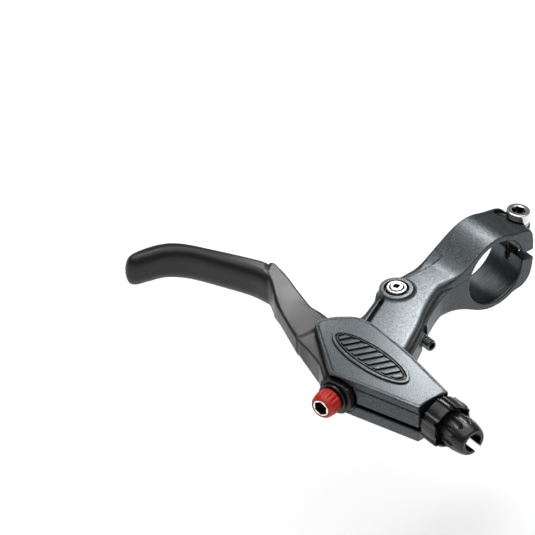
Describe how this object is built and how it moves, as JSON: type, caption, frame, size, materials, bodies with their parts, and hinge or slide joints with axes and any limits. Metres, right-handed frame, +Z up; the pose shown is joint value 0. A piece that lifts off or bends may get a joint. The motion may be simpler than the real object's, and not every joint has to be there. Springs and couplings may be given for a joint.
{
  "type": "bicycle brake lever",
  "caption": "Flat-bar bicycle brake lever: split-clamp bracket, hooked two-finger blade on a pivot, leverage dial and barrel adjuster.",
  "frame": {"origin": "centre of the handlebar clamp bore", "axes": "+X along the handlebar towards the middle of the bicycle, +Y back towards the rider, +Z up along the lever pivot"},
  "size_m": [0.1315, 0.1075, 0.0267],
  "materials": {
    "grey_paint": "satin metallic grey paint",
    "black_coat": "satin black coat with fine grain",
    "steel": "bright plated steel",
    "dark_steel": "black oxide",
    "bronze": "sintered bronze",
    "red_plastic": "semi-gloss red",
    "black_plastic": "semi-gloss black",
    "rubber": "plain black"
  },
  "bodies": {
    "bracket": {"bracket": "grey_paint", "clamp_washer": "steel", "clamp_bolt": "steel", "pivot_pin": "steel", "pivot_screw": "steel", "upper_washer": "steel", "return_spring": "steel"},
    "lever": {"lever_blade": "black_coat", "upper_bush": "bronze", "lower_bush": "bronze", "dial_collar": "black_plastic"},
    "dial": {"dial_knob": "red_plastic", "dial_spindle": "steel", "dial_o_ring": "rubber", "spindle_clip": "dark_steel"},
    "carriage": {"cable_carriage": "bronze"},
    "adjuster_carrier": {"lock_ring": "black_plastic"},
    "adjuster": {"barrel_adjuster": "black_plastic"},
    "reach_stop": {"reach_screw": "dark_steel"}
  },
  "joints": [
    {"name": "lever_pivot", "type": "hinge", "parent": "bracket", "child": "lever", "pos_m": [0, -0.035, 0], "axis": [0, 0, -1], "range_deg": [0, 34], "stiffness_Nm_per_rad": 0.15, "springref_deg": -34.38, "deforming": ["return_spring"]},
    {"name": "dial_turn", "type": "hinge", "parent": "lever", "child": "dial", "pos_m": [0.0204, -0.0776, -0.0006], "axis": [-0.2419, 0.9703, 0], "range_deg": [-1290, 2320]},
    {"name": "carriage_slide", "type": "slide", "parent": "lever", "child": "carriage", "axis": [-0.2419, 0.9703, 0], "range_m": [-0.0045, 0.0025]},
    {"name": "adjuster_travel", "type": "slide", "parent": "bracket", "child": "adjuster_carrier", "axis": [1, 0, 0], "range_m": [0, 0.006]},
    {"name": "adjuster_turn", "type": "hinge", "parent": "adjuster_carrier", "child": "adjuster", "pos_m": [0.05, -0.0589, -0.0005], "axis": [1, 0, 0], "range_deg": [0, 2165]},
    {"name": "reach_travel", "type": "slide", "parent": "bracket", "child": "reach_stop", "axis": [1, 0, 0], "range_m": [0, 0.002]}
  ],
  "couplings": [
    {"joint": "dial_turn", "follows": "carriage_slide", "rad_per_m": -8976},
    {"joint": "adjuster_turn", "follows": "adjuster_travel", "rad_per_m": 6283.2}
  ]
}
